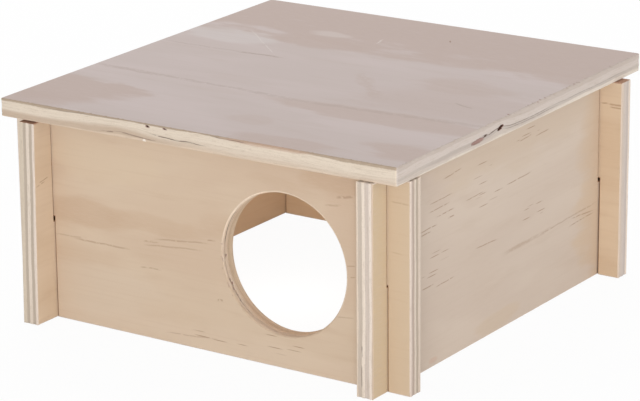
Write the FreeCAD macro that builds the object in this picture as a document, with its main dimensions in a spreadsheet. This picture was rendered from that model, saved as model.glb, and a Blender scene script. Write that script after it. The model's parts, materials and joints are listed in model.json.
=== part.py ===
"""Hamster house of five plywood panels.

Four walls cross at the corners in halving slots and run past each other as short stubs. The front
and back walls have slots open at the bottom and drop over the side walls, whose slots are open at
the top. A flat roof plate lies loose on the walls, and two laths under it keep it from sliding off.
The house has no floor.

Frame: millimetres, +Z up, the entrance faces -Y. The origin is the middle of the four walls, on the
surface that the house stands on.
"""

import FreeCAD
import Part
import Sketcher

import os

SIZES = [
    # The wall panels.
    ("ply", 8, "thickness of the wall panels"),
    ("house_width", 180, "between the outer faces of the side walls"),
    ("house_depth", 185, "between the outer faces of the front and back walls"),
    ("wall_height", 91.7, "height of all four walls"),
    ("stub", 11, "how far each wall runs past the wall it crosses"),
    ("left_stub", 13.8, "the same for the left wall at the front, where it is longer"),
    ("wall_arris", 0.4, "rounding of the walls' edges"),
    # The halving slots.
    ("slot_side_gap", 0.25, "room on each side of a wall in its slot"),
    ("slot_end_gap", 1, "how much each slot is deeper than half the wall"),
    # The entrance.
    ("hole_diameter", 62, "entrance"),
    ("hole_offset", 39, "centre of the entrance, right of the middle of the wall"),
    ("hole_height", 45.7, "centre of the entrance above the ground"),
    ("hole_arris", 0.8, "rounding of the entrance's two rims"),
    # The roof plate, as it lies on the walls.
    ("roof_width", 200, "roof plate along X"),
    ("roof_depth", 209, "roof plate along Y"),
    ("roof_ply", 8, "thickness of the roof plate"),
    ("roof_corner", 1, "rounding of the roof's four corners, seen from above"),
    ("roof_arris", 0.5, "rounding of the roof's long edges"),
    ("roof_seat_gap", 0.3, "roof plate above the walls' top edges"),
    ("roof_shift_x", -1, "roof plate's middle from the walls' middle, along X"),
    ("roof_shift_y", 1.3, "roof plate's middle from the walls' middle, along Y"),
    ("roof_turn", 0.8, "degrees that the roof plate is turned on the walls"),
    # The laths under the roof.
    ("batten_width", 10, "lath, across the house"),
    ("batten_height", 10, "how far a lath hangs down between the walls"),
    ("batten_play", 4, "room between a lath and the walls around it"),
    ("batten_chamfer", 2, "lead-in on a lath's lower edges"),
]

# Lengths that several pieces share, as expressions on the sheet.
INNER_WIDTH = "(Sizes.house_width - 2 * Sizes.ply)"
INNER_DEPTH = "(Sizes.house_depth - 2 * Sizes.ply)"
SLOT_WIDTH = "(Sizes.ply + 2 * Sizes.slot_side_gap)"
SLOT_DEPTH = "(Sizes.wall_height / 2 + Sizes.slot_end_gap)"
ROOF_UNDERSIDE = "(Sizes.wall_height + Sizes.roof_seat_gap)"

# Two values closer than this are one place, in millimetres.
SAME_PLACE = 1e-6

doc = FreeCAD.newDocument("hamster_house")


def make_sheet():
    """The driving dimensions, one row each: name, value and what it is."""
    sheet = doc.addObject("Spreadsheet::Sheet", "Sizes")
    for row, (name, value, meaning) in enumerate(SIZES, start=1):
        sheet.set(f"A{row}", name)
        sheet.set(f"B{row}", str(value))
        sheet.set(f"C{row}", meaning)
        sheet.setAlias(f"B{row}", name)
    doc.recompute()


def size(name):
    """A driving dimension, as an expression on the sheet."""
    return f"Sizes.{name}"


# Sketches: every dimension is an expression on the sheet.


def origin_plane(body, role):
    for plane in body.Origin.OriginFeatures:
        if plane.Role == role:
            return plane
    raise LookupError(role)


def sketch_on(body, role, name):
    """An empty sketch on one of the body's own origin planes."""
    sketch = body.newObject("Sketcher::SketchObject", name)
    sketch.AttachmentSupport = [(origin_plane(body, role), "")]
    sketch.MapMode = "FlatFace"
    return sketch


def constrain(sketch, kind, *where):
    return sketch.addConstraint(Sketcher.Constraint(kind, *where))


def dimension(sketch, expression, kind, *where):
    index = constrain(sketch, kind, *where, 1.0)
    sketch.setExpression(f"Constraints[{index}]", expression)


def draw_rectangle(sketch, right, bottom, width, height):
    """A closed rectangle, placed by its right-hand edge and its bottom edge."""
    corners = [(0, 0), (1, 0), (1, 1), (0, 1)]
    points = [FreeCAD.Vector(u, v, 0) for u, v in corners]
    lines = []
    for start, end in zip(points, points[1:] + points[:1]):
        lines.append(sketch.addGeometry(Part.LineSegment(start, end), False))
    for line, following in zip(lines, lines[1:] + lines[:1]):
        constrain(sketch, "Coincident", line, 2, following, 1)
    for line, direction in zip(lines, ["Horizontal", "Vertical"] * 2):
        constrain(sketch, direction, line)
    origin = (-1, 1)
    dimension(sketch, right, "DistanceX", *origin, lines[0], 2)
    dimension(sketch, bottom, "DistanceY", *origin, lines[0], 2)
    dimension(sketch, width, "DistanceX", lines[0], 1, lines[0], 2)
    dimension(sketch, height, "DistanceY", lines[1], 1, lines[1], 2)


def draw_circle(sketch, centre_x, centre_y, diameter):
    circle = Part.Circle(FreeCAD.Vector(1, 1, 0), FreeCAD.Vector(0, 0, 1), 1)
    index = sketch.addGeometry(circle, False)
    dimension(sketch, centre_x, "DistanceX", -1, 1, index, 3)
    dimension(sketch, centre_y, "DistanceY", -1, 1, index, 3)
    dimension(sketch, diameter, "Diameter", index)


# Features of a panel. Each panel is sawn from a sheet, so it is a pad and what is cut out of it.


def make_body(name):
    body = doc.addObject("PartDesign::Body", name)
    body.Label = name
    return body


def pad(body, sketch, length, name):
    """A plate of the sketch's outline, with its middle plane on the sketch."""
    feature = body.newObject("PartDesign::Pad", name)
    feature.Profile = sketch
    feature.setExpression("Length", length)
    feature.SideType = "Symmetric"
    doc.recompute()
    return feature


def pocket_through(body, sketch, name):
    """Cuts the sketch right through the plate."""
    volume = body.Shape.Volume
    feature = body.newObject("PartDesign::Pocket", name)
    feature.Profile = sketch
    feature.Type = "ThroughAll"
    feature.SideType = "Symmetric"
    doc.recompute()
    if not body.Shape.Volume < volume:
        raise RuntimeError(f"{body.Label}: {name} cuts nothing")
    return feature


def mirror(body, feature, role, name):
    """The same cut on the other side of one of the body's origin planes."""
    volume = body.Shape.Volume
    mirrored = body.newObject("PartDesign::Mirrored", name)
    mirrored.Originals = [feature]
    mirrored.MirrorPlane = (origin_plane(body, role), [""])
    body.Tip = mirrored
    doc.recompute()
    if not body.Shape.Volume < volume:
        raise RuntimeError(f"{body.Label}: {name} cuts nothing")


def ease(body, kind, amount, expression, wanted, name):
    """Rounds or chamfers the edges of the body that wanted(edge) picks."""
    base = body.Tip
    edges = enumerate(base.Shape.Edges, start=1)
    names = [f"Edge{number}" for number, edge in edges if wanted(edge)]
    feature = body.newObject(f"PartDesign::{kind}", name)
    feature.Base = (base, names)
    feature.setExpression(amount, expression)
    doc.recompute()


def is_circle(edge):
    return isinstance(edge.Curve, Part.Circle)


def keeps(edge, axis):
    """Whether the whole edge has one value of this axis, as the rim of a broad face does."""
    box = edge.BoundBox
    return getattr(box, f"{axis}Max") - getattr(box, f"{axis}Min") < SAME_PLACE


# The walls.


def make_wall(name, plane, right, length):
    """A plain wall panel on its own middle plane, standing on the ground. right is its far end."""
    body = make_body(name)
    outline = sketch_on(body, plane, f"{name}_outline")
    draw_rectangle(outline, right, "0", length, size("wall_height"))
    pad(body, outline, size("ply"), f"{name}_panel")
    return body


def cut_slots(body, plane, mirror_plane, distance_apart, opens_up):
    """A halving slot near each end. Its outline runs past the panel's edge, so the slot is open."""
    past_edge = size("ply")
    bottom = f"Sizes.wall_height - {SLOT_DEPTH}" if opens_up else f"-{past_edge}"
    slot = sketch_on(body, plane, f"{body.Label}_slot_outline")
    right = f"{distance_apart} / 2 + {SLOT_WIDTH} / 2"
    draw_rectangle(slot, right, bottom, SLOT_WIDTH, f"{SLOT_DEPTH} + {past_edge}")
    cut = pocket_through(body, slot, f"{body.Label}_slot")
    mirror(body, cut, mirror_plane, f"{body.Label}_other_slot")


def cut_entrance(body, plane):
    entrance = sketch_on(body, plane, "entrance_outline")
    draw_circle(entrance, size("hole_offset"), size("hole_height"), size("hole_diameter"))
    pocket_through(body, entrance, "entrance")
    ease(body, "Fillet", "Radius", size("hole_arris"), is_circle, "entrance_arris")


def round_wall(body, thick_axis):
    """Takes the sharpness off the straight edges around both broad faces."""

    def on_broad_face(edge):
        return not is_circle(edge) and keeps(edge, thick_axis)

    ease(body, "Fillet", "Radius", size("wall_arris"), on_broad_face, f"{body.Label}_arris")


def make_cross_wall(name, sign, has_entrance):
    """The front or back wall, which drops over the side walls."""
    right = "(Sizes.house_width / 2 + Sizes.stub)"
    body = make_wall(name, "XZ_Plane", right, f"2 * {right}")
    cut_slots(body, "XZ_Plane", "YZ_Plane", "(Sizes.house_width - Sizes.ply)", opens_up=False)
    if has_entrance:
        cut_entrance(body, "XZ_Plane")
    round_wall(body, "Y")
    body.setExpression("Placement.Base.y", f"{sign}(Sizes.house_depth - Sizes.ply) / 2")
    return body


def make_side_wall(name, sign, front_stub):
    """The left or right wall, which stands in the slots of the other two."""
    back = "(Sizes.house_depth / 2 + Sizes.stub)"
    body = make_wall(name, "YZ_Plane", back, f"{back} + Sizes.house_depth / 2 + {front_stub}")
    cut_slots(body, "YZ_Plane", "XZ_Plane", "(Sizes.house_depth - Sizes.ply)", opens_up=True)
    round_wall(body, "X")
    body.setExpression("Placement.Base.x", f"{sign}(Sizes.house_width - Sizes.ply) / 2")
    return body


# The roof and what is glued under it.


def make_roof_body(name):
    """A body whose XY plane is the underside of the roof plate, as the plate lies."""
    body = make_body(name)
    body.Placement.Rotation = FreeCAD.Rotation(FreeCAD.Vector(0, 0, 1), 1)
    body.setExpression("Placement.Rotation.Angle", size("roof_turn"))
    body.setExpression("Placement.Base.x", size("roof_shift_x"))
    body.setExpression("Placement.Base.y", size("roof_shift_y"))
    body.setExpression("Placement.Base.z", ROOF_UNDERSIDE)
    return body


def make_roof():
    body = make_roof_body("roof")
    outline = sketch_on(body, "XY_Plane", "roof_outline")
    right, front = "Sizes.roof_width / 2", "-Sizes.roof_depth / 2"
    draw_rectangle(outline, right, front, size("roof_width"), size("roof_depth"))
    plate = pad(body, outline, size("roof_ply"), "roof_plate")
    plate.SideType = "One side"
    doc.recompute()

    def upright(edge):
        return keeps(edge, "X") and keeps(edge, "Y")

    def level(edge):
        return keeps(edge, "Z")

    ease(body, "Fillet", "Radius", size("roof_corner"), upright, "roof_corners")
    ease(body, "Fillet", "Radius", size("roof_arris"), level, "roof_arris_edges")
    return body


def make_batten(name, right):
    """A lath that hangs inside a side wall, between the front and back walls."""
    body = make_roof_body(name)
    section = sketch_on(body, "XZ_Plane", f"{name}_section")
    draw_rectangle(section, right, "-Sizes.batten_height", size("batten_width"), size("batten_height"))
    pad(body, section, f"{INNER_DEPTH} - 2 * Sizes.batten_play", f"{name}_lath")
    lowest = body.Tip.Shape.BoundBox.ZMin

    def on_underside(edge):
        return edge.BoundBox.ZMax - lowest < SAME_PLACE

    ease(body, "Chamfer", "Size", size("batten_chamfer"), on_underside, f"{name}_lead_in")
    return body


def check_document():
    for item in doc.Objects:
        if {"Invalid", "Error"} & set(item.State):
            raise RuntimeError(f"{item.Label} didn't build: {item.State}")


def write_parts(bodies):
    os.makedirs("parts", exist_ok=True)
    for body in bodies:
        shape = body.Shape
        if shape.isNull() or not shape.isValid() or len(shape.Solids) != 1:
            raise RuntimeError(f"{body.Label} isn't one valid solid")
    for body in bodies:
        body.Shape.exportStep(f"parts/{body.Label}.step")
        print(body.Label, body.Shape.BoundBox, round(body.Shape.Volume))


make_sheet()
batten_reach = f"({INNER_WIDTH} / 2 - Sizes.batten_play)"
pieces = [
    make_cross_wall("front_wall", "-", has_entrance=True),
    make_cross_wall("back_wall", "", has_entrance=False),
    make_side_wall("left_wall", "-", size("left_stub")),
    make_side_wall("right_wall", "", size("stub")),
    make_roof(),
    make_batten("left_batten", f"Sizes.batten_width - {batten_reach}"),
    make_batten("right_batten", batten_reach),
]
doc.recompute()
check_document()
write_parts(pieces)
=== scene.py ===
import json
import math

import bmesh
import bpy
from mathutils import Matrix, Vector, noise


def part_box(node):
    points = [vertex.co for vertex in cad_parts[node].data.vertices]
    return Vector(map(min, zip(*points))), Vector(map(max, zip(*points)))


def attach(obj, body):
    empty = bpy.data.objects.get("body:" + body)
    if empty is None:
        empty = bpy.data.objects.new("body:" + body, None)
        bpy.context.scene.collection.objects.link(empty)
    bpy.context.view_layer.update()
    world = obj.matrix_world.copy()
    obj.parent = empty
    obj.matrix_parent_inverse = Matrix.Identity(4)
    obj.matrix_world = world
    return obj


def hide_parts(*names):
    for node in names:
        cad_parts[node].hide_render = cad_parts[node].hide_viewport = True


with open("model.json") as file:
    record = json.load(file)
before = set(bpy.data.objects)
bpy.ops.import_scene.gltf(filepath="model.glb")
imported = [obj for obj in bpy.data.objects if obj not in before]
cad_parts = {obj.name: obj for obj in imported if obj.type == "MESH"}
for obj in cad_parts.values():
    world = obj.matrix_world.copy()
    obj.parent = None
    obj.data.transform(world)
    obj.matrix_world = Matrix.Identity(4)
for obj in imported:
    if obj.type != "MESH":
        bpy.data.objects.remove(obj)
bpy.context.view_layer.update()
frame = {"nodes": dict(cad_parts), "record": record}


# FRONT WALL
# A panel of five-ply softwood plywood with level grain, sanded faces and bare sawn edges. A round
# entrance is cut near its right end, and two slots in its lower edge drop over the side walls.

# The wood is measured in millimetres, and the floor, the lamps and the camera in metres.
MM = 0.001


class Node:
    """One output of a shader node, so that shader maths reads as a Python expression."""

    def __init__(self, tree, socket=None):
        self.tree = tree
        self.socket = socket

    def add(self, kind, settings=None, sockets=None, out=0):
        """A new node: its settings are set first, then the values or links of its sockets."""
        node = self.tree.nodes.new(kind)
        for name, value in (settings or {}).items():
            if name == "stops":
                set_stops(node.color_ramp, value)
            else:
                setattr(node, name, value)
        for name, value in (sockets or {}).items():
            if isinstance(value, Node):
                self.tree.links.new(value.socket, node.inputs[name])
            else:
                node.inputs[name].default_value = value
        return Node(self.tree, node.outputs[out] if node.outputs else None)

    def maths(self, operation, *values):
        return self.add("ShaderNodeMath", {"operation": operation}, dict(enumerate(values)))

    def __add__(self, other):
        return self.maths("ADD", self, other)

    def __sub__(self, other):
        return self.maths("SUBTRACT", self, other)

    def __rsub__(self, other):
        return self.maths("SUBTRACT", other, self)

    def __mul__(self, other):
        return self.maths("MULTIPLY", self, other)

    def __truediv__(self, other):
        return self.maths("DIVIDE", self, other)

    __radd__ = __add__
    __rmul__ = __mul__

    def part(self, axis):
        return self.add("ShaderNodeSeparateXYZ", None, {0: self}, out=axis)

    def size(self):
        return self.maths("ABSOLUTE", self)

    def larger(self, other):
        return self.maths("MAXIMUM", self, other)

    def rise(self, low, high):
        """0 below low, 1 above high, and a smooth rise between."""
        sockets = {"Value": self, "From Min": low, "From Max": high}
        return self.add("ShaderNodeMapRange", {"interpolation_type": "SMOOTHSTEP"}, sockets)

    def vector(self, x, y, z):
        return self.add("ShaderNodeCombineXYZ", None, {0: x, 1: y, 2: z})

    def noise(self, along, across, layer, length, width, detail=2.0, distortion=0.0):
        """Noise from 0 to 1 with spots of about length by width. layer keeps two noises apart."""
        sockets = {"Scale": 1.0, "Detail": detail, "Distortion": distortion}
        sockets["Vector"] = self.vector(along / length, across / width, layer)
        return self.add("ShaderNodeTexNoise", None, sockets)

    def attribute(self, name):
        return self.add("ShaderNodeAttribute", {"attribute_name": name}, out="Fac")

    def blend(self, first, second, share):
        sockets = {0: share, 6: first, 7: second}
        return self.add("ShaderNodeMix", {"data_type": "RGBA"}, sockets, out=2)


def set_stops(ramp, stops):
    while len(ramp.elements) < len(stops):
        ramp.elements.new(0.5)
    for element, (position, colour) in zip(ramp.elements, stops):
        element.position = position
        element.color = colour


def paint(red, green, blue):
    """A colour given as 0 to 255 on a screen, as the linear values that shaders use."""
    linear = []
    for level in (red, green, blue):
        share = level / 255
        linear.append(share / 12.92 if share <= 0.04045 else ((share + 0.055) / 1.055) ** 2.4)
    return (*linear, 1.0)


def new_material(name):
    material = bpy.data.materials.new(name)
    material.use_nodes = True
    material.node_tree.nodes.clear()
    return material, Node(material.node_tree)


WOOD_SPECULAR = 0.25
ROUGHNESS_SPREAD = 0.1


def bare_wood(shader, colour, roughness, height, strength):
    """Ends a material as bare wood. height is the relief in millimetres."""
    relief = {"Strength": strength, "Distance": MM, "Height": height}
    sockets = {
        "Base Color": colour,
        "Roughness": roughness,
        "Normal": shader.add("ShaderNodeBump", None, relief),
        "Specular IOR Level": WOOD_SPECULAR,
    }
    surface = shader.add("ShaderNodeBsdfPrincipled", None, sockets)
    shader.add("ShaderNodeOutputMaterial", None, {"Surface": surface})


SCRATCH_FADE = 0.15
SCRATCH_CORE = 0.3
SCRATCH_SWAY = 2.4
SCRATCH_BENDS = {"length": 9.0, "width": 9.0}


def scratch(shader, along, across, start, end, width):
    """1 on a thin mark from start to end, both (along, across) in millimetres, and 0 elsewhere."""
    slope = (end[1] - start[1]) / (end[0] - start[0])
    fade = SCRATCH_FADE * (end[0] - start[0])
    bends = shader.noise(along, across, start[0], **SCRATCH_BENDS)
    sway = (bends - 0.5) * SCRATCH_SWAY * width
    away = (across - start[1] - (along - start[0]) * slope + sway).size()
    inside = along.rise(start[0] - fade, start[0] + fade)
    outside = along.rise(end[0] - fade, end[0] + fade)
    return (1 - away.rise(SCRATCH_CORE * width, width)) * inside * (1 - outside)


def patch(along, across, middle, reach, core=0.35):
    """1 in the middle of an oval and 0 outside it. core is how far out it starts to fade."""
    x = (along - middle[0]) / reach[0]
    y = (across - middle[1]) / reach[1]
    return 1 - (x * x + y * y).rise(core, 1.0)


TICK_CELL = (13.0, 2.6)
TICK_REACH = (0.36, 0.1)
TICK_CORE = 0.2
TICK_CHANCE = (0.25, 0.55)
TICK_RANDOMNESS = 0.8
TICK_GROUP_CORE = 0.6


def ticks(shader, along, across, groups):
    """Short dark dashes along the grain, one to a cell, in groups of (middle, reach)."""
    cells = {"Scale": 1.0, "Randomness": TICK_RANDOMNESS}
    cells["Vector"] = shader.vector(along / TICK_CELL[0], across / TICK_CELL[1], groups[0][0][0])
    flat = {"voronoi_dimensions": "2D"}
    nearest = shader.add("ShaderNodeTexVoronoi", flat, cells, out="Position")
    chance = shader.add("ShaderNodeTexVoronoi", flat, cells, out="Color")
    x = along / TICK_CELL[0] - nearest.part("X")
    y = across / TICK_CELL[1] - nearest.part("Y")
    x = x / TICK_REACH[0]
    y = y / TICK_REACH[1]
    dash = (1 - (x * x + y * y).rise(TICK_CORE, 1.0)) * chance.part("X").rise(*TICK_CHANCE)
    where = 0.0
    for middle, reach in groups:
        where = patch(along, across, middle, reach, TICK_GROUP_CORE) + where
    return dash * where


# The layers of a sanded face. A rise is where a layer starts to show and where it shows in full,
# and its share is how strong that is.
BANDS = {"length": 110.0, "width": 26.0, "distortion": 0.7}
BAND_RISE = (0.38, 0.62)
FIGURE = {"length": 38.0, "width": 7.0, "detail": 3.0, "distortion": 0.4}
FIGURE_LAYER = 3
FIGURE_RISE = (0.5, 0.75)
FIGURE_SHARE = 0.4
STREAKS = {"length": 60.0, "width": 1.2}
STREAK_LAYER = 7
STREAK_RISE = (0.5, 0.75)
STREAK_SHARE = 0.18
FIBRES = {"length": 4.0, "width": 0.25, "detail": 1.0}
FIBRE_LAYER = 11
FIBRE_RISE = (0.45, 0.7)
FIBRE_SHARE = 0.25
PATCH_RAGS = {"length": 26.0, "width": 9.0, "detail": 3.0}
RAG_LAYER = 20
RAG_REACH = 1.1
PATCH_CORE = 0.55
MARK_BREAKS = {"length": 2.5, "width": 1.5}
BREAK_LAYER = 30
BREAK_RISE = (0.3, 0.5)
RESIN = paint(140, 104, 80)
RESIN_SHARE = 0.6
FACE_LAYERS = 30.0
FACE_ROUGHNESS = 0.62
FACE_RELIEF = 0.05
FACE_BUMP = 0.5


def veneer(name, along_axis, across_axis, tones, patches, marks, resin):
    """A sanded face of rotary-cut softwood: soft bands, fine fibres, and short dark resin ticks.

    tones are the pale, middle and dark colours. patches are (middle, reach, colour, strength), and
    the faint ones fade the most gently. marks are (start, end, width, colour, strength), and resin
    are (middle, reach) of the groups of ticks.
    """
    material, shader = new_material(name)
    place = shader.add("ShaderNodeTexCoord", out="Object")
    along, across = place.part(along_axis) / MM, place.part(across_axis) / MM
    (depth_axis,) = set("XYZ") - {along_axis, across_axis}
    depth = place.part(depth_axis) / (FACE_LAYERS * MM)

    bands = shader.noise(along, across, depth, **BANDS)
    figure = shader.noise(along, across, depth + FIGURE_LAYER, **FIGURE)
    streaks = shader.noise(along, across, depth + STREAK_LAYER, **STREAKS)
    fibres = shader.noise(along, across, depth + FIBRE_LAYER, **FIBRES)
    pale, middle, dark = tones
    colour = shader.blend(pale, middle, bands.rise(*BAND_RISE))
    colour = shader.blend(colour, dark, figure.rise(*FIGURE_RISE) * FIGURE_SHARE)
    ragged = (shader.noise(along, across, depth + RAG_LAYER, **PATCH_RAGS) - 0.5) * RAG_REACH
    for centre, reach, tint, strength in patches:
        drift = (along + ragged * reach[0], across + ragged * reach[1])
        share = patch(*drift, centre, reach, PATCH_CORE * strength) * strength
        colour = shader.blend(colour, tint, share)
    colour = shader.blend(colour, dark, streaks.rise(*STREAK_RISE) * STREAK_SHARE)
    colour = shader.blend(colour, pale, fibres.rise(*FIBRE_RISE) * FIBRE_SHARE)
    breaks = shader.noise(along, across, depth + BREAK_LAYER, **MARK_BREAKS).rise(*BREAK_RISE)
    for start, end, width, tint, strength in marks:
        mark = scratch(shader, along, across, start, end, width) * strength
        colour = shader.blend(colour, tint, mark * breaks)
    if resin:
        colour = shader.blend(colour, RESIN, ticks(shader, along, across, resin) * RESIN_SHARE)
    roughness = FACE_ROUGHNESS + streaks * ROUGHNESS_SPREAD
    relief = fibres * FACE_RELIEF + streaks * FACE_RELIEF
    bare_wood(shader, colour, roughness, relief, FACE_BUMP)
    return material


# The same for a sawn edge, with the stain that lies over its plies.
GLUE_LINE = 0.14
PLY_RAGS = {"layer": 0.0, "length": 1.6, "width": 0.7}
PLY_RAG_REACH = 0.35
EDGE_SHADE = paint(178, 160, 140)
EDGE_GRAIN = {"layer": 5.0, "length": 22.0, "width": 0.28}
EDGE_GRAIN_RISE = (0.48, 0.72)
EDGE_GRAIN_SHARE = 0.3
EDGE_GRAIN_RELIEF = 0.12
WISPS = {"layer": 13.0, "length": 5.0, "width": 0.5, "distortion": 0.6}
WISP_RISE = (0.52, 0.75)
WISP_SHARE = 0.35
SPECKLE = {"layer": 9.0, "length": 0.7, "width": 0.5, "detail": 1.0}
SPECKLE_RISE = (0.55, 0.75)
SPECKLE_SHARE = 0.25
SPECKLE_RELIEF = 0.08
# Painted shade for the hollows in an edge: a reddish tone, partly the knot wood's own, for shallow
# voids, chips and torn fibres, and a very dark brown for cracks and deep voids.
KNOT_TONE_AND_SHADE = paint(158, 130, 122)
KNOT_TONE_AND_SHADE_RISE = (0.0, 0.6)
CRACK_AND_VOID_SHADE = paint(64, 40, 30)
CRACK_AND_VOID_SHADE_RISE = (1.0, 1.6)
EDGE_ROUGHNESS = 0.75
EDGE_BUMP = 0.6


def sawn_edge(name, plies, cracks=(), stains_and_painted_light=()):
    """The layers of a sawn edge, read from the depth and run that each board's mesh carries.

    cracks are (start, end, width, strength), with start and end as (run, depth) in millimetres,
    and the patches over the plies are (middle, reach, colour, strength): stains, and painted shade
    and painted light.
    """
    material, shader = new_material(name)
    run, depth = shader.attribute("run"), shader.attribute("depth")
    ragged = (shader.noise(run, depth, **PLY_RAGS) - 0.5) * PLY_RAG_REACH
    thickness = sum(share for share, _ in plies)
    stops = []
    boundary = 0.0
    for share, tint in plies:
        stops.append(((boundary + GLUE_LINE) / thickness, tint))
        boundary += share
        stops.append(((boundary - GLUE_LINE) / thickness, tint))
    colour = shader.add("ShaderNodeValToRGB", {"stops": stops}, {0: (depth + ragged) / thickness})
    grain = shader.noise(run, depth, **EDGE_GRAIN)
    wisps = shader.noise(run, depth, **WISPS)
    speckle = shader.noise(run, depth, **SPECKLE)
    for middle, reach, tint, strength in stains_and_painted_light:
        colour = shader.blend(colour, tint, patch(run, depth, middle, reach) * strength)
    colour = shader.blend(colour, EDGE_SHADE, grain.rise(*EDGE_GRAIN_RISE) * EDGE_GRAIN_SHARE)
    colour = shader.blend(colour, EDGE_SHADE, wisps.rise(*WISP_RISE) * WISP_SHARE)
    colour = shader.blend(colour, EDGE_SHADE, speckle.rise(*SPECKLE_RISE) * SPECKLE_SHARE)
    breaks = wisps.rise(*BREAK_RISE)
    # Cracks are painted very dark brown, as painted shade in the gaps between veneers.
    for start, end, width, strength in cracks:
        mark = scratch(shader, run, depth, start, end, width) * strength
        colour = shader.blend(colour, CRACK_AND_VOID_SHADE, mark * breaks)
    # Voids, chips and torn fibres take the reddish tone and then the very dark brown as they deepen,
    # as painted shade in the hollow.
    void = shader.attribute("void")
    colour = shader.blend(colour, KNOT_TONE_AND_SHADE, void.rise(*KNOT_TONE_AND_SHADE_RISE))
    colour = shader.blend(colour, CRACK_AND_VOID_SHADE, void.rise(*CRACK_AND_VOID_SHADE_RISE))
    roughness = EDGE_ROUGHNESS + speckle * ROUGHNESS_SPREAD
    relief = grain * EDGE_GRAIN_RELIEF + speckle * SPECKLE_RELIEF
    bare_wood(shader, colour, roughness, relief, EDGE_BUMP)
    return material


# How finely a board's edges are divided, along them and across.
SAWN_STEP = 0.8
LONG_STEP = 3.0
HIDDEN_STEP = 9.0
PLY_ROWS = 22
ARRIS_ROWS = 3


def walk(corners):
    """Places along a closed outline, counter-clockwise, from (u, v, edge kind, step) corners.

    Each is (where, the way into the wood, run, edge kind, whether it is a corner).
    """
    places = []
    run = 0.0
    for number, (u, v, kind, step) in enumerate(corners):
        here = Vector((u, v))
        ahead = Vector(corners[(number + 1) % len(corners)][:2]) - here
        behind = here - Vector(corners[number - 1][:2])
        inward = Vector((-ahead.y, ahead.x)).normalized()
        before = Vector((-behind.y, behind.x)).normalized()
        pieces = max(1, round(ahead.length / step))
        for piece in range(pieces):
            mitre = (inward + before) / (1 + inward.dot(before)) if piece == 0 else inward
            places.append((here + ahead * (piece / pieces), mitre, run, kind, piece == 0))
            run += ahead.length / pieces
    return places


def walk_circle(middle, radius, kind):
    """The same around a round hole, where the way into the wood is outwards."""
    pieces = round(2 * math.pi * radius / SAWN_STEP)
    places = []
    for piece in range(pieces):
        turn = -2 * math.pi * piece / pieces
        outward = Vector((math.cos(turn), math.sin(turn)))
        places.append((Vector(middle) + outward * radius, outward, -turn * radius, kind, False))
    return places


def edge_rows(thickness, arris):
    """Rows from one broad face to the other: (depth, how far the arris draws it into the wood)."""
    rounding = []
    for row in range(ARRIS_ROWS + 1):
        turn = row / ARRIS_ROWS * math.pi / 2
        rounding.append((arris * (1 - math.cos(turn)), arris * (1 - math.sin(turn))))
    flat = thickness - 2 * arris
    middle = [(arris + flat * row / PLY_ROWS, 0.0) for row in range(1, PLY_ROWS)]
    return rounding + middle + [(thickness - depth, drawn) for depth, drawn in reversed(rounding)]


def ply_at(depth, plies):
    """Which ply lies at this depth, and how far inside it from its nearer glue line."""
    boundary = 0.0
    for number, (share, _) in enumerate(plies):
        if depth < boundary + share:
            return number, min(depth - boundary, boundary + share - depth)
        boundary += share
    return len(plies) - 1, 0.0


def rough(run, depth, spot, seed):
    """Noise from -1 to 1 with spots of this size, in millimetres along and across the edge."""
    return noise.noise(Vector((run / spot[0], depth / spot[1], seed)))


# The relief of a sawn edge. A spot is the size of what the noise makes, along the edge and across.
PLY_WAVER = 0.3
WAVE = (23.0, 9.0)
RIPPLE = (6.0, 4.0)
RIPPLE_SHARE = 0.35
SUNK_PLY = 0.09
SUNK_PLY_RAMP = 0.35
SAW_MARKS = 0.035
SAW_MARK_SPOT = (1.1, 0.9)
VOID_DEPTH = 0.9
VOID_LIMIT = 1.6
# How fast a void's painted shade grows as it opens.
VOID_DARKENS = 3
VOID_TEAR = 0.35
VOID_TEAR_SPOT = (0.9, 0.6)
ARRIS_CLEARANCE = 0.3
CHIP_DEPTH = 1.3
CHIP_SPOT = (1.3, 0.8)
CHIP_LEVEL = 0.05


def edge_relief(run, depth, cut, seed):
    """How far the sawn edge is sunk here, its depth among the plies, and how much of a void it is.

    The numbers added to seed keep the noises apart.
    """
    clear = min(depth - cut["arris"], cut["thickness"] - cut["arris"] - depth)
    wave = noise.noise(Vector((run / WAVE[0], seed, depth / WAVE[1])))
    ripple = noise.noise(Vector((run / RIPPLE[0], seed + 5, depth / RIPPLE[1])))
    among = depth + cut["waver"] * wave
    among += RIPPLE_SHARE * cut["waver"] * ripple
    inner = 4 * depth * (cut["thickness"] - depth) / cut["thickness"] ** 2
    for centre, reach, height in cut["rises"]:
        among += inner * height * math.exp(-(((run - centre) / reach) ** 2))
    number, inside = ply_at(among, cut["plies"])
    sunk = SUNK_PLY * min(1.0, inside / SUNK_PLY_RAMP) if number % 2 else 0.0
    sunk += SAW_MARKS * (1 + rough(run, depth, SAW_MARK_SPOT, seed))
    hole = 0.0
    for kind, centre, reach, slope, darkness in cut["voids"]:
        if kind != cut["kind"]:
            continue
        level = depth - centre[1] - slope * (run - centre[0])
        away = ((run - centre[0]) / reach[0]) ** 2 + (level / reach[1]) ** 2
        ragged = VOID_TEAR * rough(run, depth, VOID_TEAR_SPOT, seed + 3)
        open_here = max(0.0, 1 - away + ragged) if away < VOID_LIMIT else 0.0
        sunk += VOID_DEPTH * math.sqrt(min(1.0, open_here))
        hole = max(hole, min(1.0, VOID_DARKENS * open_here) * darkness)
    share = max(0.0, min(1.0, clear / ARRIS_CLEARANCE))
    sunk *= share
    hole *= share
    for kind, start, end, reach, darkness in cut["chips"]:
        if kind == cut["kind"] and start < run < end and depth < CHIP_DEPTH:
            splinter = rough(run, depth, CHIP_SPOT, seed + 9) - CHIP_LEVEL
            bite = max(0.0, splinter) * (1 - depth / CHIP_DEPTH)
            sunk += reach * bite
            hole = max(hole, darkness * bite)
    return sunk, among, hole


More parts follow.
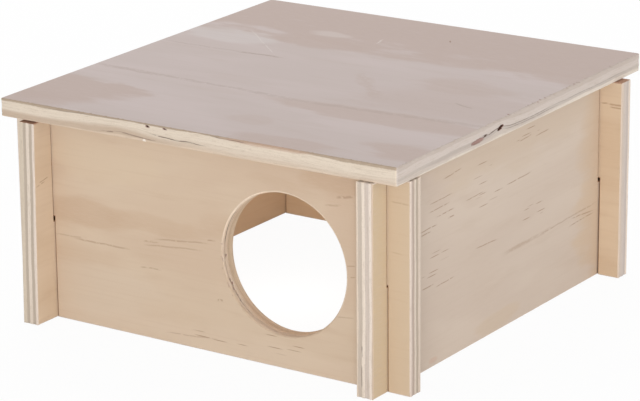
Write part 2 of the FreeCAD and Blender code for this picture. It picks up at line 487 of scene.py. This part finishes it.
def make_board(name, node, place, loops, plies, materials, slot, seed, **wear):
    """A plywood board with its plies worked into every sawn edge. It replaces the CAD node.

    place turns (u, v, depth) in millimetres into the row frame. loops are (places, arris), the
    outline first. plies and materials go by edge kind, with the broad faces' material before
    them. wear may hold waver, how far the plies wander; rises, (run, reach, height) where they
    swell; voids, (edge kind, middle, reach, slope, darkness); and chips off the first broad face's
    arris, (edge kind, start, end, reach, darkness).
    """
    thickness = sum(share for share, _ in plies[0])
    mesh = bmesh.new()
    run_layer = mesh.verts.layers.float.new("run")
    depth_layer = mesh.verts.layers.float.new("depth")
    void_layer = mesh.verts.layers.float.new("void")
    rims = ([], [])
    for places, arris in loops:
        rows = edge_rows(thickness, arris)
        cut = {"waver": PLY_WAVER, "rises": (), "voids": (), "chips": (), **wear}
        cut.update(thickness=thickness, arris=arris)
        columns = []
        for where, inward, run, kind, _ in places:
            column = []
            cut.update(kind=kind, plies=plies[kind])
            for depth, drawn in rows:
                sunk, among, hole = edge_relief(run, depth, cut, seed)
                spot = where + inward * (drawn + sunk)
                vertex = mesh.verts.new(place @ Vector((spot.x, spot.y, depth)))
                vertex[run_layer] = run
                vertex[depth_layer] = among
                vertex[void_layer] = hole
                column.append(vertex)
            columns.append(column)
        for number, column in enumerate(columns):
            following = columns[(number + 1) % len(columns)]
            _, _, _, kind, corner = places[number]
            for row in range(len(rows) - 1):
                corners = (column[row], following[row], following[row + 1], column[row + 1])
                face = mesh.faces.new(corners)
                face.smooth = True
                face.material_index = 1 + kind
                if corner:
                    mesh.edges.get((column[row], column[row + 1])).smooth = False
            for rim, row in zip(rims, (0, -1)):
                rim.append(mesh.edges.get((column[row], following[row])))
    for rim in rims:
        filled = bmesh.ops.triangle_fill(mesh, use_beauty=True, use_dissolve=False, edges=rim)
        for face in filled["geom"]:
            if isinstance(face, bmesh.types.BMFace):
                face.smooth = False
                face.material_index = 0
        for edge in rim:
            edge.smooth = False
    bmesh.ops.recalc_face_normals(mesh, faces=mesh.faces)
    data = bpy.data.meshes.new(name)
    mesh.to_mesh(data)
    mesh.free()
    for material in materials:
        data.materials.append(material)
    board = bpy.data.objects.new(name, data)
    bpy.context.scene.collection.objects.link(board)
    bodies = frame["record"]["behaviour"]["bodies"]
    (body,) = [body for body, nodes in bodies.items() if node in nodes]
    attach(board, body)
    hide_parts(node)


def frame_from(u, v, depth, origin):
    """The matrix that puts board millimetres into the row frame."""
    turn = Matrix((u, v, depth)).transposed() * MM
    return Matrix.Translation(origin) @ turn.to_4x4()


def span(node, axis):
    low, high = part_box(node)
    return low[axis] / MM, high[axis] / MM


X, Y, Z = 0, 1, 2
ALONG, ACROSS, SLOT, RIM = 0, 1, 2, 3
SLOT_SIDE_GAP = 0.25


def wall_outline(length, height, crossed, opens_up):
    """A panel with a halving slot over each crossing wall, counter-clockwise from its lower left.

    crossed is a list of (low, high, end gap): the stretches that the crossing walls take up, and
    how far the slot's end stays from the middle of the panel's height.
    """
    low, high = length
    mouth = height if opens_up else 0.0
    slots = []
    for start, end, gap in crossed:
        left, right = start - SLOT_SIDE_GAP, end + SLOT_SIDE_GAP
        slot_end = height / 2 + (-gap if opens_up else gap)
        slots.append([(left, mouth), (left, slot_end), (right, slot_end), (right, mouth)])
    if opens_up:
        slots = [slot[::-1] for slot in slots[::-1]]
    notches = []
    for slot in slots:
        notches += [(*point, SLOT, HIDDEN_STEP) for point in slot[:-1]]
        notches.append((*slot[-1], ALONG, LONG_STEP))
    ends = [(low, 0.0, ALONG, LONG_STEP), (high, 0.0, ACROSS, SAWN_STEP)]
    ends += [(high, height, ALONG, LONG_STEP), (low, height, ACROSS, SAWN_STEP)]
    if opens_up:
        return ends[:3] + notches + ends[3:]
    return ends[:1] + notches + ends[1:]


def move_corner(outline, number, along, up):
    u, v, kind, step = outline[number]
    outline[number] = (u + along, v + up, kind, step)


def crossing(axis, nodes, gaps, before=(0.0, 0.0), behind=(0.0, 0.0)):
    """The crossing walls for wall_outline. before and behind widen each slot on its two sides."""
    walls = []
    for node, gap, near, far in zip(nodes, gaps, before, behind):
        low, high = span(node, axis)
        walls.append((low - near, high + far, gap))
    return walls


PLYWOOD = 8.0
ARRIS = 0.4
ENTRANCE_MIDDLE = (39.0, 45.7)
ENTRANCE_RADIUS = 31.0
ENTRANCE_ARRIS = 0.8
CLOSE_TO_ROOF = 0.25
SLOT_CUT = paint(166, 120, 84)

slot_cut = sawn_edge("slot_cut", [(PLYWOOD / 2, SLOT_CUT), (PLYWOOD / 2, SLOT_CUT)])
wall_height = span("front_wall", Z)[1]
front_plies = [
    (1.5, paint(214, 198, 186)),
    (1.6, paint(179, 161, 149)),
    (1.4, paint(213, 199, 184)),
    (1.6, paint(177, 162, 147)),
    (1.9, paint(212, 196, 181)),
]
# The entrance rim's plies are painted paler than the wall's other edges, as painted light on a rim
# that the lamps reach less.
rim_plies = [
    (1.8, paint(234, 217, 199)),
    (1.5, paint(231, 213, 193)),
    (1.4, paint(235, 217, 197)),
    (1.9, paint(222, 203, 178)),
    (1.4, paint(229, 211, 188)),
]
# Patches over the rim's plies: darker bands along its outer arris, painted shade in a warmer, darker
# tan at the rim's bottom around run 48, and a painted highlight at its upper left around run 126.
rim_tones_and_painted_light = [
    ((97.0, 0.0), (600.0, 1.3), paint(222, 201, 179), 0.85),
    ((48.0, 6.4), (36.0, 5.6), paint(226, 201, 175), 0.9),
    ((48.0, 1.0), (24.0, 3.0), paint(229, 209, 190), 0.6),
    ((126.0, 1.0), (14.0, 4.0), paint(244, 226, 205), 0.6),
    ((58.0, 0.0), (52.0, 0.8), paint(198, 174, 148), 0.8),
]
rim_cracks = [
    ((66.0, 1.8), (102.0, 2.0), 0.32, 0.3),
    ((72.0, 2.7), (84.0, 2.5), 0.3, 0.3),
    ((101.0, 2.7), (119.0, 0.8), 0.42, 0.9),
    ((108.0, 3.3), (140.0, 3.3), 0.26, 0.3),
]
FIBRE_REACH = (0.24, 0.44)
FIBRE_DEPTH = 2.1
FIBRE_SCATTER = 0.4
FIBRE_DARKNESS = 1.05
torn_fibres = []
for run in (69.5, 71.0, 72.4, 73.5, 75.2, 76.4, 77.9, 79.8, 81.0, 83.3, 85.0, 87.6, 91.0, 95.4):
    middle = (run, FIBRE_DEPTH + FIBRE_SCATTER * math.sin(run))
    torn_fibres.append((RIM, middle, FIBRE_REACH, 0.0, FIBRE_DARKNESS))
FRONT_TAN = paint(192, 164, 138)
front_face = veneer(
    "front_veneer",
    "X",
    "Z",
    tones=[paint(206, 185, 162), paint(202, 179, 156), paint(194, 168, 143)],
    patches=[
        ((-64.0, 50.5), (30.0, 8.0), FRONT_TAN, 0.6),
        ((-28.0, 52.0), (34.0, 5.5), FRONT_TAN, 0.45),
        ((6.0, 57.0), (14.0, 7.0), FRONT_TAN, 0.3),
        ((-66.0, 31.0), (26.0, 8.0), FRONT_TAN, 0.3),
        ((70.0, 62.0), (14.0, 34.0), paint(200, 174, 151), 0.5),
        ((66.0, 87.0), (22.0, 8.0), FRONT_TAN, 0.6),
        ((-60.0, 18.0), (40.0, 14.0), paint(208, 189, 168), 0.6),
        ((-52.0, 76.0), (36.0, 12.0), paint(208, 187, 162), 0.6),
        # Painted light: a paler band along the foot of the wall, which lifts the shade near the
        # floor.
        ((0.0, 0.0), (400.0, 12.0), paint(214, 195, 174), 0.5),
        ((97.0, 46.0), (11.0, 200.0), paint(203, 181, 154), 0.9),
        ((-97.0, 46.0), (11.0, 200.0), paint(222, 208, 192), 0.9),
    ],
    marks=[
        ((-82.2, 38.6), (-66.0, 39.3), 0.5, RESIN, 0.26),
        ((-69.5, 38.3), (-42.8, 38.3), 0.6, RESIN, 0.36),
        ((-25.8, 45.6), (-0.9, 48.2), 0.5, RESIN, 0.33),
        ((-33.0, 43.4), (-25.8, 44.4), 0.6, RESIN, 0.33),
        ((-31.8, 42.0), (-4.5, 44.6), 0.5, RESIN, 0.29),
        ((0.3, 49.8), (4.4, 50.3), 0.5, RESIN, 0.39),
        ((-35.2, 31.4), (-25.0, 32.1), 0.5, RESIN, 0.33),
        ((5.0, 23.8), (7.6, 24.1), 0.7, RESIN, 0.45),
        ((-21.0, 4.4), (2.8, 6.2), 0.4, RESIN, 0.33),
        ((66.0, 79.6), (73.6, 81.0), 0.9, RESIN, 0.36),
        ((60.2, 75.3), (67.4, 76.3), 0.6, RESIN, 0.26),
        ((70.4, 51.0), (74.3, 51.5), 0.4, RESIN, 0.33),
        ((70.4, 46.1), (74.3, 46.7), 0.4, RESIN, 0.33),
        ((65.9, 28.0), (73.1, 29.0), 0.4, RESIN, 0.26),
        ((92.0, 82.3), (100.0, 82.0), 0.5, RESIN, 0.23),
        ((92.5, 60.8), (98.0, 60.6), 0.4, RESIN, 0.16),
    ],
    resin=[((38.0, 10.5), (12.0, 5.0)), ((2.0, 5.5), (20.0, 3.5))],
)
front_long_edge = sawn_edge("front_long_edge", front_plies)
front_end = sawn_edge("front_end", front_plies)
front_rim = sawn_edge("entrance_rim", rim_plies, rim_cracks, rim_tones_and_painted_light)
front_y = span("front_wall", Y)[0] * MM
side_walls = ("left_wall", "right_wall")
front_slots = crossing(X, side_walls, gaps=(0.5, 0.2), behind=(0.0, -0.12))
front_outline = wall_outline(span("front_wall", X), wall_height, front_slots, opens_up=False)
move_corner(front_outline, -2, 0.0, CLOSE_TO_ROOF)
make_board(
    "front_wall_panel",
    "front_wall",
    place=frame_from((1, 0, 0), (0, 0, 1), (0, 1, 0), (0, front_y, 0)),
    loops=[
        (walk(front_outline), ARRIS),
        (walk_circle(ENTRANCE_MIDDLE, ENTRANCE_RADIUS, RIM), ENTRANCE_ARRIS),
    ],
    plies=[front_plies, front_plies, front_plies, rim_plies],
    materials=[front_face, front_long_edge, front_end, slot_cut, front_rim],
    slot="wall_plywood",
    seed=1,
    rises=[(100.0, 18.0, 1.2)],
    voids=torn_fibres,
    chips=[(RIM, 62.0, 104.0, 1.6, 0.9)],
)


# BACK WALL
# The same panel without the entrance. It is seen through the entrance and where its end sticks out
# past the right wall.

# SHADE_REACH and SHADED_EDGE paint shade on the tops of the stubs that lie under the roof.
SHADE_REACH = (16.0, 40.0)
SHADED_EDGE = paint(188, 146, 122)


def corner_runs(places):
    return [run for _, _, run, _, corner in places if corner]


def stub_top_shade(run):
    """Painted shade on the top of a stub under the roof, as a browner patch over its edge's plies.
    """
    return [((run, PLYWOOD / 2), SHADE_REACH, SHADED_EDGE, 1.0)]


BACK_RESIN = paint(150, 112, 84)
BACK_SHADE_MIDDLE = 5.0

back_plies = [
    (1.6, paint(226, 211, 196)),
    (1.7, paint(192, 180, 173)),
    (1.5, paint(200, 188, 180)),
    (1.6, paint(203, 189, 178)),
    (1.6, paint(212, 194, 178)),
]
back_face = veneer(
    "back_veneer",
    "X",
    "Z",
    tones=[paint(213, 190, 163), paint(207, 182, 154), paint(197, 169, 140)],
    # Painted shade: the stretch between the side walls, inside the house, is darker and warmer than
    # the ends that stick out, and the outer face takes it too.
    patches=[((0.0, 46.0), (80.0, 200.0), paint(204, 176, 148), 0.6)],
    marks=[
        ((91.0, 81.2), (101.5, 81.2), 0.6, BACK_RESIN, 0.5),
        ((95.5, 79.8), (101.5, 79.6), 0.5, BACK_RESIN, 0.5),
    ],
    resin=[
        ((34.0, 64.0), (24.0, 4.5)),
        ((-12.0, 33.0), (34.0, 5.0)),
        ((60.0, 22.0), (18.0, 4.0)),
        ((-56.0, 74.0), (20.0, 4.0)),
    ],
)
back_y = span("back_wall", Y)[1] * MM
back_slots = crossing(X, side_walls, gaps=(1.0, 0.1), behind=(0.0, 0.2))
back_outline = wall_outline(span("back_wall", X), wall_height, back_slots, opens_up=False)
back_places = walk(back_outline)
back_shade_run = corner_runs(back_places)[-2] + BACK_SHADE_MIDDLE
make_board(
    "back_wall_panel",
    "back_wall",
    place=frame_from((1, 0, 0), (0, 0, 1), (0, -1, 0), (0, back_y, 0)),
    loops=[(back_places, ARRIS)],
    plies=[back_plies, back_plies, back_plies],
    materials=[
        back_face,
        # Painted shade on the top of the stub that sticks out past the right wall.
        sawn_edge("back_long_edge", back_plies, stains_and_painted_light=stub_top_shade(back_shade_run)),
        sawn_edge("back_end", back_plies),
        slot_cut,
    ],
    slot="wall_plywood",
    seed=2,
)


# SIDE WALLS
# Two panels with slots open at the top, into which the front and back walls drop. Their ends stick
# out past the front and back walls and show the plies upright.

GREY_WOOD = paint(183, 169, 154)
WHITE_WOOD = paint(230, 216, 203)
LILAC_WOOD = paint(205, 191, 180)
TAN_WOOD = paint(222, 205, 187)
LEFT_CORNER_DROP = 0.9
LEFT_CORNER_BACK = 1.9
LEFT_SHADE_MIDDLE = 6.0

left_plies = [
    (2.1, paint(207, 193, 175)),
    (1.5, GREY_WOOD),
    (1.7, paint(221, 207, 192)),
    (1.5, GREY_WOOD),
    (1.2, paint(222, 208, 195)),
]
left_face = veneer(
    "left_veneer",
    "Y",
    "Z",
    tones=[paint(215, 193, 168), paint(210, 187, 161), paint(200, 174, 147)],
    patches=[],
    marks=[
        ((-104.0, 62.4), (-98.5, 63.6), 0.35, RESIN, 0.5),
        ((-101.5, 64.0), (-96.0, 65.0), 0.35, RESIN, 0.5),
    ],
    resin=[
        ((-42.0, 66.0), (26.0, 4.5)),
        ((14.0, 41.0), (34.0, 5.0)),
        ((56.0, 18.0), (20.0, 4.0)),
        ((-66.0, 24.0), (16.0, 4.0)),
    ],
)
left_x = span("left_wall", X)[0] * MM
end_walls = ("front_wall", "back_wall")
left_slots = crossing(Y, end_walls, gaps=(1.6, 1.0))
left_outline = wall_outline(span("left_wall", Y), wall_height, left_slots, opens_up=True)
move_corner(left_outline, -1, LEFT_CORNER_BACK, -LEFT_CORNER_DROP)
left_places = walk(left_outline)
left_shade_run = corner_runs(left_places)[-1] - LEFT_SHADE_MIDDLE
make_board(
    "left_wall_panel",
    "left_wall",
    place=frame_from((0, 1, 0), (0, 0, 1), (1, 0, 0), (left_x, 0, 0)),
    loops=[(left_places, ARRIS)],
    plies=[left_plies, left_plies, left_plies],
    materials=[
        left_face,
        # Painted shade on the top of the front stub, under the roof.
        sawn_edge("left_long_edge", left_plies, stains_and_painted_light=stub_top_shade(left_shade_run)),
        sawn_edge("left_end", left_plies),
        slot_cut,
    ],
    slot="wall_plywood",
    seed=3,
)

right_plies = [
    (1.8, WHITE_WOOD),
    (2.0, LILAC_WOOD),
    (1.4, paint(228, 214, 199)),
    (1.9, paint(195, 181, 167)),
    (0.9, TAN_WOOD),
]
right_face = veneer(
    "right_veneer",
    "Y",
    "Z",
    tones=[paint(202, 186, 171), paint(198, 181, 166), paint(190, 171, 154)],
    patches=[
        ((10.0, 90.0), (95.0, 22.0), paint(197, 178, 157), 0.55),
        ((96.0, 44.0), (34.0, 80.0), paint(197, 172, 144), 0.6),
        ((-98.0, 46.0), (12.0, 200.0), paint(200, 179, 150), 1.0),
        ((-57.2, 2.9), (4.0, 1.5), paint(196, 150, 126), 0.3),
        ((-5.0, 5.0), (20.0, 5.0), paint(198, 178, 156), 0.6),
        ((16.0, 33.6), (16.0, 1.4), paint(176, 154, 134), 0.3),
    ],
    marks=[
        ((3.0, 33.2), (40.0, 33.8), 1.3, RESIN, 0.2),
        ((36.0, 33.8), (79.0, 35.0), 0.5, RESIN, 0.32),
        ((61.0, 33.2), (78.6, 32.0), 0.4, RESIN, 0.5),
        ((59.4, 30.2), (78.6, 31.0), 0.4, RESIN, 0.5),
        ((-66.8, 61.5), (-55.2, 61.8), 0.38, RESIN, 0.55),
        ((-66.4, 59.8), (-59.7, 60.1), 0.38, RESIN, 0.55),
        ((-59.0, 71.8), (-43.3, 72.2), 0.34, RESIN, 0.5),
        ((-59.7, 68.5), (-45.5, 68.8), 0.34, RESIN, 0.5),
        ((-53.8, 65.0), (-41.7, 65.3), 0.38, RESIN, 0.55),
        ((-45.5, 62.2), (-40.9, 62.3), 0.45, RESIN, 0.55),
        ((-65.8, 36.3), (-57.4, 36.5), 0.38, RESIN, 0.55),
        ((-54.3, 34.7), (-41.5, 35.1), 0.34, RESIN, 0.55),
        ((-30.3, 65.8), (-17.9, 66.1), 0.34, RESIN, 0.5),
        ((-48.6, 80.2), (-35.8, 81.2), 0.4, RESIN, 0.5),
        ((7.6, 64.1), (22.2, 64.5), 0.4, RESIN, 0.5),
        ((13.7, 81.0), (22.6, 81.4), 0.4, RESIN, 0.5),
        ((27.6, 79.7), (37.5, 80.3), 0.4, RESIN, 0.5),
        ((-22.2, 42.5), (-6.4, 41.8), 0.4, RESIN, 0.5),
    ],
    resin=[
        ((-54.0, 44.0), (14.0, 7.0)),
        ((-14.0, 62.5), (12.0, 4.0)),
        ((-18.0, 75.0), (9.0, 6.0)),
        ((2.0, 67.0), (16.0, 4.0)),
        ((26.0, 46.0), (12.0, 4.0)),
        ((20.0, 83.0), (12.0, 3.0)),
    ],
)
right_x = span("right_wall", X)[1] * MM
right_slots = crossing(Y, end_walls, gaps=(0.2, 1.4), before=(0.0, 0.25))
right_outline = wall_outline(span("right_wall", Y), wall_height, right_slots, opens_up=True)
move_corner(right_outline, -1, 0.0, CLOSE_TO_ROOF)
right_places = walk(right_outline)
right_foot = right_places[-1][2]
right_cracks = [
    ((right_foot - 21.5, 5.2), (right_foot - 17.0, 5.1), 0.28, 0.7),
    ((right_foot - 13.0, 5.1), (right_foot - 4.0, 5.1), 0.28, 0.6),
]
right_stains = [((0.0, 0.0), (4000.0, 0.6), paint(192, 168, 146), 0.8)]
make_board(
    "right_wall_panel",
    "right_wall",
    place=frame_from((0, 1, 0), (0, 0, 1), (-1, 0, 0), (right_x, 0, 0)),
    loops=[(right_places, ARRIS)],
    plies=[right_plies, right_plies, right_plies],
    materials=[
        right_face,
        sawn_edge("right_long_edge", right_plies),
        sawn_edge("right_end", right_plies, right_cracks, right_stains),
        slot_cut,
    ],
    slot="wall_plywood",
    seed=4,
)


# ROOF
# A flat plate of the same plywood with a greyer face, laid loose on the walls and a little askew.
# Its sawn edges have open knots and cracks where the core veneers don't meet.

ROOF_WIDTH = 200.0
ROOF_DEPTH = 209.0
ROOF_TURN = math.radians(0.8)
ROOF_ARRIS = 0.5
ROOF_CORNER = 1.0
CORNER_PIECES = 4
ROOF_TAN = paint(194, 175, 166)
ROOF_LINE = paint(176, 158, 148)
ROOF_SCRATCH = paint(218, 208, 202)

roof_plies = [
    (0.7, paint(173, 155, 136)),
    (3.2, paint(218, 204, 187)),
    (1.7, paint(213, 198, 181)),
    (1.3, paint(208, 191, 173)),
    (1.1, paint(210, 191, 171)),
]
roof_stains = [
    ((0.0, 7.6), (120.0, 4.0), paint(190, 169, 149), 0.85),
    ((138.0, 0.5), (26.0, 1.1), paint(190, 158, 138), 0.6),
    ((100.0, 8.1), (400.0, 0.9), paint(217, 197, 176), 0.7),
    ((76.8, 7.7), (1.0, 0.7), paint(244, 236, 228), 0.8),
]
roof_end_plies = [
    (1.6, paint(193, 180, 171)),
    (2.5, paint(203, 191, 183)),
    (1.4, paint(191, 180, 171)),
    (1.6, paint(200, 188, 178)),
    (0.9, paint(216, 205, 192)),
]
roof_end_stains = [
    ((250.0, 5.2), (34.0, 1.2), paint(176, 163, 156), 0.45),
    ((306.0, 5.4), (20.0, 1.2), paint(178, 165, 157), 0.35),
    ((372.0, 6.8), (56.0, 1.3), paint(224, 213, 200), 0.7),
]
roof_cracks = [
    ((82.0, 4.5), (106.0, 5.4), 0.3, 0.8),
    ((56.0, 6.8), (84.0, 6.9), 0.25, 0.5),
    ((112.0, 0.7), (128.0, 0.7), 0.3, 0.5),
    ((28.0, 0.7), (62.0, 0.7), 0.3, 0.35),
]
roof_end_cracks = [
    ((265.5, 4.1), (271.5, 4.1), 0.5, 0.9),
    ((268.0, 4.35), (282.0, 4.3), 0.35, 0.8),
    ((284.0, 4.3), (322.0, 4.3), 0.22, 0.6),
    ((288.0, 5.4), (330.0, 5.4), 0.2, 0.5),
    ((330.0, 4.3), (392.0, 4.4), 0.2, 0.35),
]
roof_face = veneer(
    "roof_veneer",
    "X",
    "Y",
    tones=[paint(206, 192, 188), paint(202, 188, 183), paint(196, 180, 172)],
    patches=[
        ((20.0, 104.0), (400.0, 67.0), ROOF_TAN, 0.9),
        ((-38.0, 47.0), (34.0, 10.0), ROOF_TAN, 0.85),
        ((-92.0, -76.0), (46.0, 24.0), ROOF_TAN, 0.85),
        ((-100.0, -98.0), (40.0, 14.0), ROOF_TAN, 0.7),
        ((58.0, -44.0), (66.0, 11.0), ROOF_TAN, 0.75),
        ((40.0, -97.0), (30.0, 10.0), ROOF_TAN, 0.7),
        ((94.0, -82.0), (27.0, 13.0), ROOF_TAN, 0.8),
        ((11.0, -76.0), (12.0, 9.0), ROOF_TAN, 0.4),
        ((60.0, 15.0), (28.0, 14.0), ROOF_TAN, 0.55),
        ((90.0, 50.0), (34.0, 9.0), ROOF_TAN, 0.8),
        ((75.0, -12.0), (56.0, 28.0), ROOF_TAN, 0.4),
        ((-39.0, 63.0), (13.0, 5.5), paint(220, 210, 206), 0.4),
        ((-80.0, 36.0), (32.0, 14.0), paint(214, 205, 202), 0.6),
    ],
    marks=[
        ((-73.0, 47.0), (-43.0, 20.0), 0.7, ROOF_SCRATCH, 0.7),
        ((-14.5, 66.0), (-12.5, 59.5), 2.4, ROOF_SCRATCH, 0.75),
        ((-98.0, -36.5), (6.0, -39.5), 2.2, ROOF_LINE, 0.4),
        ((12.0, -40.5), (104.0, -33.0), 2.4, ROOF_LINE, 0.3),
        ((-96.0, 13.4), (-50.0, 14.2), 1.0, ROOF_LINE, 0.35),
        ((-56.0, 14.2), (-36.0, 15.2), 1.3, ROOF_LINE, 0.75),
        ((71.0, -8.5), (81.0, -12.0), 0.9, ROOF_LINE, 0.6),
        ((10.0, 10.0), (37.0, -17.0), 6.0, ROOF_TAN, 0.5),
        ((13.2, 81.2), (15.0, 78.8), 1.0, RESIN, 0.7),
    ],
    resin=[],
)
low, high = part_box("roof")
roof_middle = (low + high) / 2
roof_top = (roof_middle.x, roof_middle.y, high.z)
cosine, sine = math.cos(ROOF_TURN), math.sin(ROOF_TURN)
half_width = ROOF_WIDTH / 2 - ROOF_CORNER
half_depth = ROOF_DEPTH / 2 - ROOF_CORNER
roof_outline = []
for number, (side, end) in enumerate([(-1, -1), (1, -1), (1, 1), (-1, 1)]):
    behind, ahead = ((ACROSS, ALONG), (ALONG, ACROSS))[number % 2]
    for piece in range(CORNER_PIECES + 1):
        turn = (number + 2 + piece / CORNER_PIECES) * math.pi / 2
        u = side * half_width + ROOF_CORNER * math.cos(turn)
        v = end * half_depth + ROOF_CORNER * math.sin(turn)
        kind = behind if piece < CORNER_PIECES / 2 else ahead
        roof_outline.append((u, v, kind, SAWN_STEP))
make_board(
    "roof_plate",
    "roof",
    place=frame_from((cosine, sine, 0), (-sine, cosine, 0), (0, 0, -1), roof_top),
    loops=[(walk(roof_outline), ROOF_ARRIS)],
    plies=[roof_plies, roof_end_plies],
    materials=[
        roof_face,
        sawn_edge("roof_long_edge", roof_plies, roof_cracks, roof_stains),
        sawn_edge("roof_end", roof_end_plies, roof_end_cracks, roof_end_stains),
    ],
    slot="roof_plywood",
    seed=5,
    waver=0.45,
    rises=[
        (15.0, 28.0, -1.0),
        (64.0, 14.0, 1.5),
        (184.0, 26.0, -1.25),
        (283.0, 6.0, 1.0),
        (308.0, 14.0, -0.9),
        (360.0, 40.0, -0.8),
    ],
    voids=[
        (ALONG, (78.3, 1.15), (0.85, 0.44), 0.1, 2.4),
        (ALONG, (87.1, 1.05), (0.8, 0.42), 0.1, 2.4),
        (ACROSS, (264.0, 5.2), (5.4, 1.0), -0.02, 0.9),
        (ACROSS, (282.9, 3.8), (2.5, 0.8), -0.3, 4.0),
    ],
    chips=[
        (ALONG, 0.0, 200.0, 1.2, 0.0),
        (ACROSS, 200.0, 286.0, 1.6, 0.0),
        (ACROSS, 286.0, 360.0, 1.8, 1.3),
        (ACROSS, 360.0, 409.0, 1.4, 0.4),
    ],
)


# BATTENS
# Two planed softwood laths, glued under the roof just inside the side walls, with a lead-in along
# their lower edges.

lath = veneer(
    "lath_softwood",
    "Y",
    "X",
    tones=[paint(222, 196, 158), paint(214, 184, 142), paint(194, 156, 112)],
    patches=[],
    marks=[],
    resin=[],
)
for batten in ("left_batten", "right_batten"):
    frame["nodes"][batten].data.materials.clear()
    frame["nodes"][batten].data.materials.append(lath)


# FLOOR
# A plain white surface, a hair below the edges that the house stands on. It is shown white and keeps
# the house's shadow.

FLOOR_REACH = 6.0
FLOOR_DROP = 0.0002
FLOOR_GREY = 0.93
WHITE_SHARE = 0.95
WHITE = (1.0, 1.0, 1.0, 1.0)


def seen_directly(shader):
    """1 where the camera sees a surface, itself or in a gloss, and 0 where it only lights."""
    seen = shader.add("ShaderNodeLightPath", out="Is Camera Ray")
    return seen.larger(shader.add("ShaderNodeLightPath", out="Is Glossy Ray"))


floor_mesh = bpy.data.meshes.new("floor")
floor_corners = []
for x, y in ((-1, -1), (1, -1), (1, 1), (-1, 1)):
    floor_corners.append((FLOOR_REACH * x, FLOOR_REACH * y, -FLOOR_DROP))
floor_mesh.from_pydata(floor_corners, [], [(0, 1, 2, 3)])
floor = bpy.data.objects.new("floor", floor_mesh)
bpy.context.scene.collection.objects.link(floor)
floor_material, shader = new_material("white_floor")
floor_colour = (FLOOR_GREY, FLOOR_GREY, FLOOR_GREY, 1.0)
matt = shader.add("ShaderNodeBsdfDiffuse", None, {"Color": floor_colour})
white = shader.add("ShaderNodeEmission", None, {"Color": WHITE, "Strength": 1.0})
shown = seen_directly(shader) * WHITE_SHARE
floor_surface = shader.add("ShaderNodeMixShader", None, {0: shown, 1: matt, 2: white})
shader.add("ShaderNodeOutputMaterial", None, {"Surface": floor_surface})
floor_mesh.materials.append(floor_material)


# LIGHT
# A white room, two soft lamps low in front and to the right, and a high one behind for the roof. A
# small warm lamp inside the house stands in for the light that comes in through the entrance.

ROOM_LIGHT = 0.6
LAMP_AIM = Vector((0, 0, 0.05))

world = bpy.data.worlds.new("white_room")
world.use_nodes = True
world.node_tree.nodes.clear()
shader = Node(world.node_tree)
strength = ROOM_LIGHT + (1 - ROOM_LIGHT) * seen_directly(shader)
room = shader.add("ShaderNodeBackground", None, {"Color": WHITE, "Strength": strength})
shader.add("ShaderNodeOutputWorld", None, {"Surface": room})
bpy.context.scene.world = world


def hang_lamp(name, kind, place, power, **settings):
    data = bpy.data.lights.new(name, kind)
    data.energy = power
    for setting, value in settings.items():
        setattr(data, setting, value)
    lamp = bpy.data.objects.new(name, data)
    lamp.location = place
    lamp.rotation_euler = (LAMP_AIM - Vector(place)).to_track_quat("-Z", "Y").to_euler()
    lamp.visible_camera = False
    lamp.visible_glossy = False
    bpy.context.scene.collection.objects.link(lamp)


def hang_soft_lamp(name, place, width, power):
    hang_lamp(name, "AREA", place, power, shape="SQUARE", size=width)


hang_soft_lamp("front_lamp", place=(0.95, -1.75, 0.3), width=0.8, power=19.6)
hang_soft_lamp("right_lamp", place=(2.0, -0.1, 0.3), width=0.8, power=8.5)
hang_soft_lamp("back_lamp", place=(-0.9, 1.1, 1.3), width=1.2, power=12.6)
hang_lamp(
    "inside_lamp",
    "POINT",
    place=(-0.01, -0.02, 0.035),
    power=0.086,
    shadow_soft_size=0.02,
    color=(1.0, 0.87, 0.72),
)


# CAMERA
# A long lens from the front right. It looks down on the roof by about 18 degrees and leans over by
# half a degree.

IMAGE_WIDTH = 640
FOCAL_PIXELS = 3028.5
SENSOR = 36.0
CAMERA_PLACE = (0.71516, -1.06946, 0.44682)
CAMERA_TURN = math.radians(33.833)
CAMERA_TILT = math.radians(90 - 17.549)
CAMERA_LEAN = math.radians(-0.484)
SHIFT_ACROSS = -0.00915
SHIFT_UP = 0.00897

camera_data = bpy.data.cameras.new("camera")
camera_data.sensor_width = SENSOR
camera_data.lens = FOCAL_PIXELS / IMAGE_WIDTH * SENSOR
camera_data.shift_x = SHIFT_ACROSS
camera_data.shift_y = SHIFT_UP
camera = bpy.data.objects.new("camera", camera_data)
camera.matrix_world = (
    Matrix.Translation(CAMERA_PLACE)
    @ Matrix.Rotation(CAMERA_TURN, 4, "Z")
    @ Matrix.Rotation(CAMERA_TILT, 4, "X")
    @ Matrix.Rotation(CAMERA_LEAN, 4, "Z")
)
bpy.context.scene.collection.objects.link(camera)
bpy.context.scene.camera = camera
bpy.context.scene.view_settings.view_transform = "Standard"
